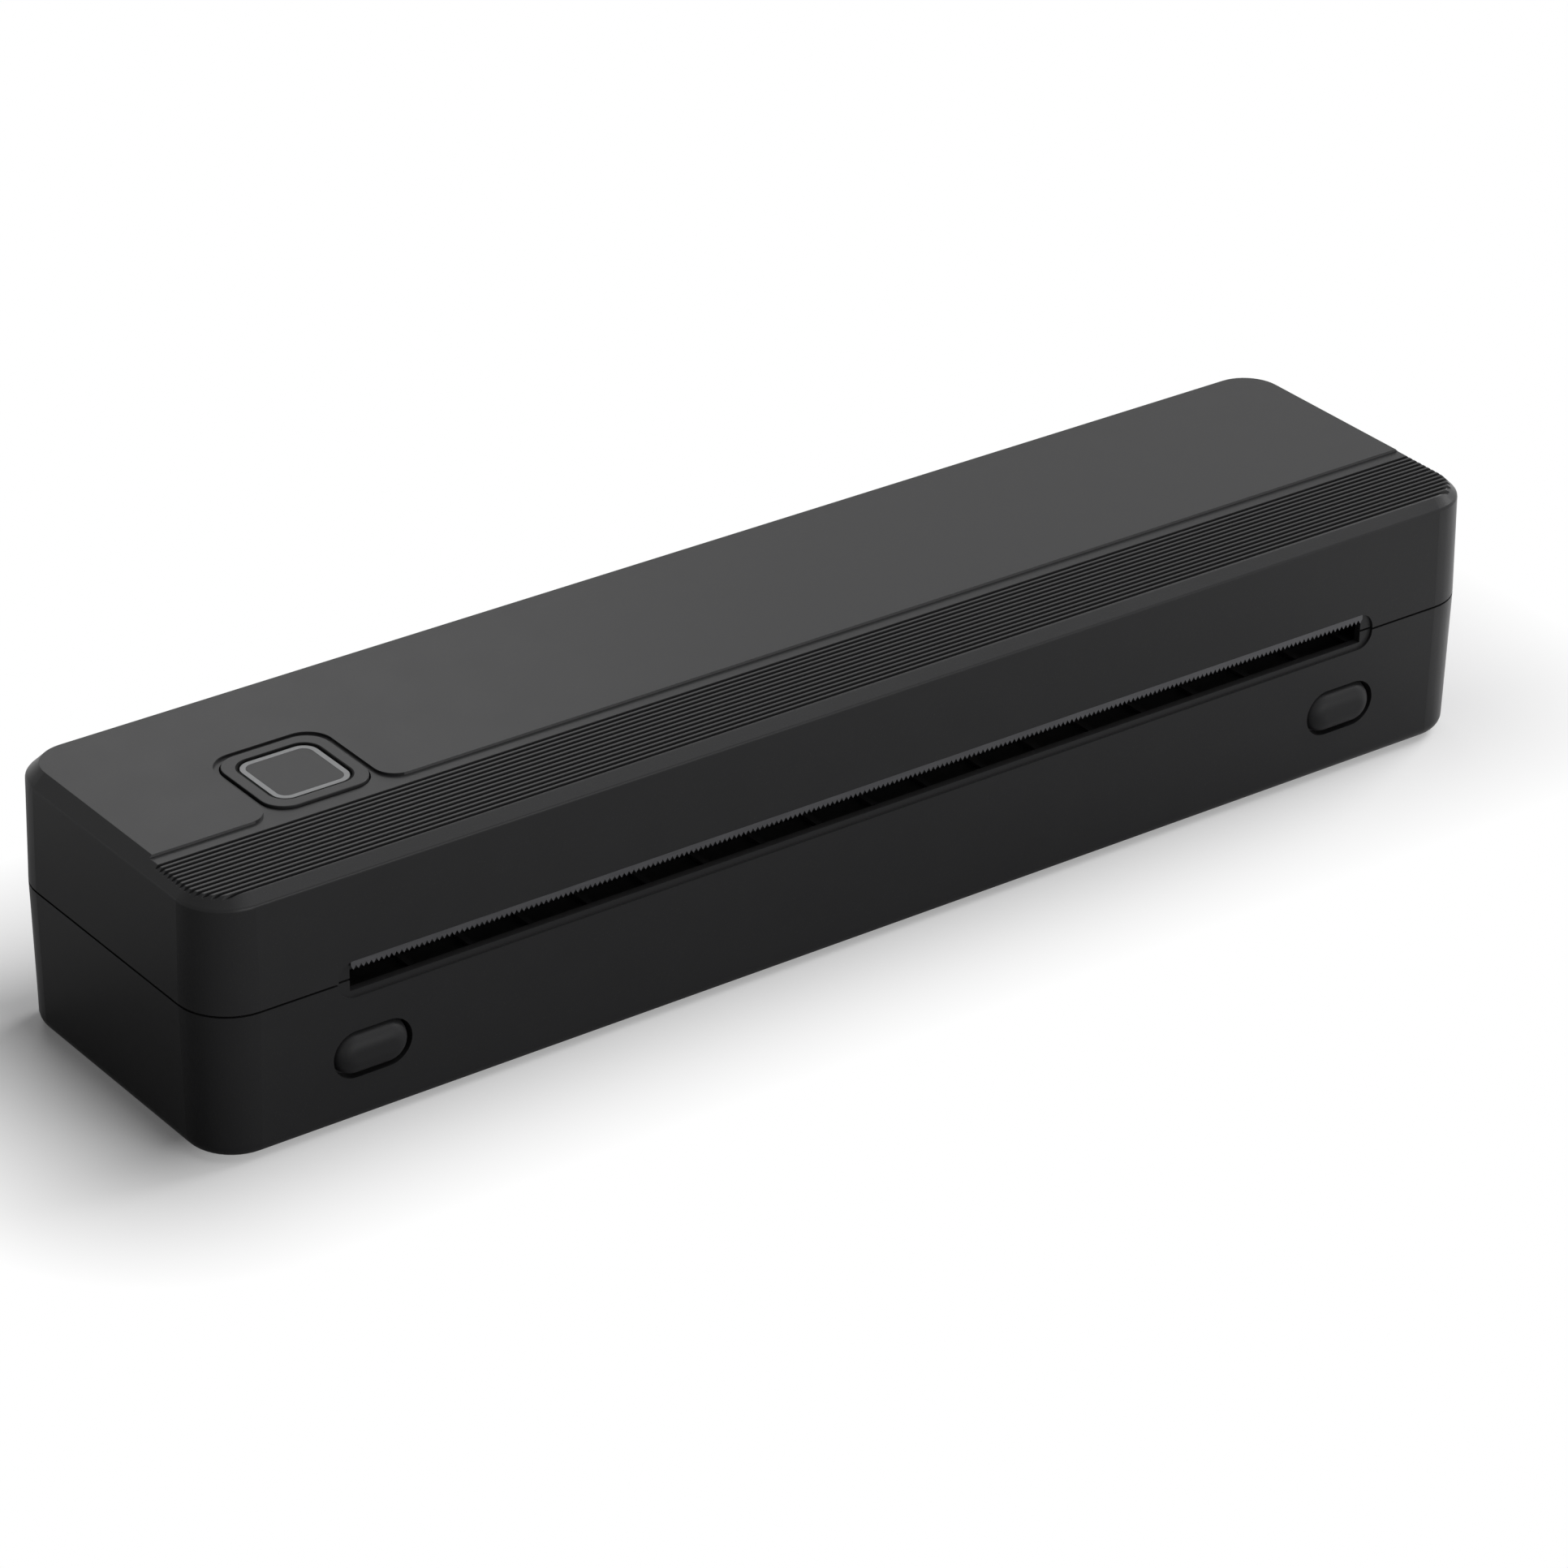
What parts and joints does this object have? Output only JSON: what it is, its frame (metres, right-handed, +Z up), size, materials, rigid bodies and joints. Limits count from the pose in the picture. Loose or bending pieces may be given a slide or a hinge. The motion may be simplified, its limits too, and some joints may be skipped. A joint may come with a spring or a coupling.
{
  "type": "portable thermal printer",
  "caption": "Flat bar-shaped thermal printer with a full-width front paper slot, ribbed hinged lid, square power key and two domed lid releases.",
  "frame": {"origin": "centre of the bounding box, on the surface that the feet stand on", "axes": "+X along the printer, left to right seen from the front; +Y from the front slot to the hinge; +Z up"},
  "size_m": [0.275, 0.071, 0.0509],
  "materials": {
    "case_plastic": "fine spark texture",
    "key_plastic": "satin",
    "ring_plastic": "frosted",
    "guide_plastic": "satin",
    "frame_plastic": "satin",
    "tear_steel": "black coated",
    "plate_steel": "brushed",
    "screw_steel": "zinc plated",
    "spring_steel": "drawn wire",
    "shaft_steel": "ground",
    "sink_aluminium": "extruded",
    "ceramic_white": "glazed",
    "roller_rubber": "ground",
    "foot_rubber": "matte",
    "gear_plastic": "moulded",
    "bush_plastic": "moulded",
    "motor_can": "pressed",
    "tray_plastic": "moulded",
    "cell_wrap": "shrink wrap",
    "board_green": "solder mask",
    "chip_black": "moulded",
    "coil_grey": "ferrite",
    "connector_plastic": "moulded",
    "socket_steel": "plated",
    "lamp_plastic": "clear"
  },
  "bodies": {
    "base": {"bottom_case": "case_plastic", "rubber_feet": "foot_rubber", "hinge_pins": "shaft_steel", "lower_guide": "guide_plastic", "guide_screws": "screw_steel", "paper_sensor": "chip_black", "left_side_plate": "plate_steel", "right_side_plate": "plate_steel", "plate_screws": "screw_steel", "platen_bushes": "bush_plastic", "stepper_motor": "motor_can", "motor_screws": "screw_steel", "idler_post": "shaft_steel", "idler_clip": "spring_steel", "battery_cells": "cell_wrap", "battery_tray": "tray_plastic", "main_board": "board_green", "board_screws": "screw_steel", "board_chips": "chip_black", "board_coils": "coil_grey", "board_connectors": "connector_plastic", "usb_socket": "socket_steel"},
    "lid": {"top_cover": "case_plastic", "tear_bar": "tear_steel", "lid_frame": "frame_plastic", "frame_screws": "screw_steel", "head_pivot": "shaft_steel", "key_board": "board_green", "key_board_screws": "screw_steel", "key_switch": "chip_black", "key_lights": "lamp_plastic"},
    "print_head": {"head_ceramic": "ceramic_white", "heat_sink": "sink_aluminium", "head_driver_cover": "chip_black", "head_springs": "spring_steel"},
    "power_button": {"power_key": "key_plastic", "light_ring": "ring_plastic", "key_plunger": "chip_black"},
    "platen": {"platen_shaft": "shaft_steel", "platen_rubber": "roller_rubber", "platen_gear": "gear_plastic"},
    "idler": {"idler_gear": "gear_plastic"},
    "motor_rotor": {"motor_shaft": "shaft_steel", "motor_pinion": "gear_plastic"},
    "right_release": {"right_release_button": "case_plastic", "right_latch_slider": "frame_plastic", "right_latch_spring": "spring_steel"},
    "left_release": {"left_release_button": "case_plastic", "left_latch_slider": "frame_plastic", "left_latch_spring": "spring_steel"}
  },
  "joints": [
    {"name": "lid_hinge", "type": "hinge", "parent": "base", "child": "lid", "pos_m": [0, 0.03332, 0.0287], "axis": [-1, 0, 0], "range_deg": [0, 90]},
    {"name": "head_rock", "type": "hinge", "parent": "lid", "child": "print_head", "pos_m": [0, -0.00293, 0.0332], "axis": [-1, 0, 0], "range_deg": [0, 2.5], "stiffness_Nm_per_rad": 8, "springref_deg": -2.29, "deforming": ["head_springs"]},
    {"name": "power_press", "type": "slide", "parent": "lid", "child": "power_button", "axis": [0, 0, -1], "range_m": [0, 0.0006], "stiffness_N_per_m": 500, "springref_m": -0.002},
    {"name": "platen_spin", "type": "hinge", "parent": "base", "child": "platen", "pos_m": [0, -0.02068, 0.0227], "axis": [1, 0, 0], "continuous": true},
    {"name": "idler_spin", "type": "hinge", "parent": "base", "child": "idler", "pos_m": [0.1142, -0.01361, 0.01427], "axis": [1, 0, 0], "continuous": true},
    {"name": "motor_spin", "type": "hinge", "parent": "base", "child": "motor_rotor", "pos_m": [0.1142, -0.00261, 0.0143], "axis": [1, 0, 0], "continuous": true},
    {"name": "right_release_press", "type": "slide", "parent": "base", "child": "right_release", "axis": [0, 1, 0], "range_m": [0, 0.002], "stiffness_N_per_m": 400, "springref_m": -0.003, "deforming": ["right_latch_spring"]},
    {"name": "left_release_press", "type": "slide", "parent": "base", "child": "left_release", "axis": [0, 1, 0], "range_m": [0, 0.002], "stiffness_N_per_m": 400, "springref_m": -0.003, "deforming": ["left_latch_spring"]}
  ],
  "couplings": [
    {"joint": "idler_spin", "follows": "platen_spin", "ratio": -1.75},
    {"joint": "motor_spin", "follows": "platen_spin", "ratio": 3.75}
  ]
}
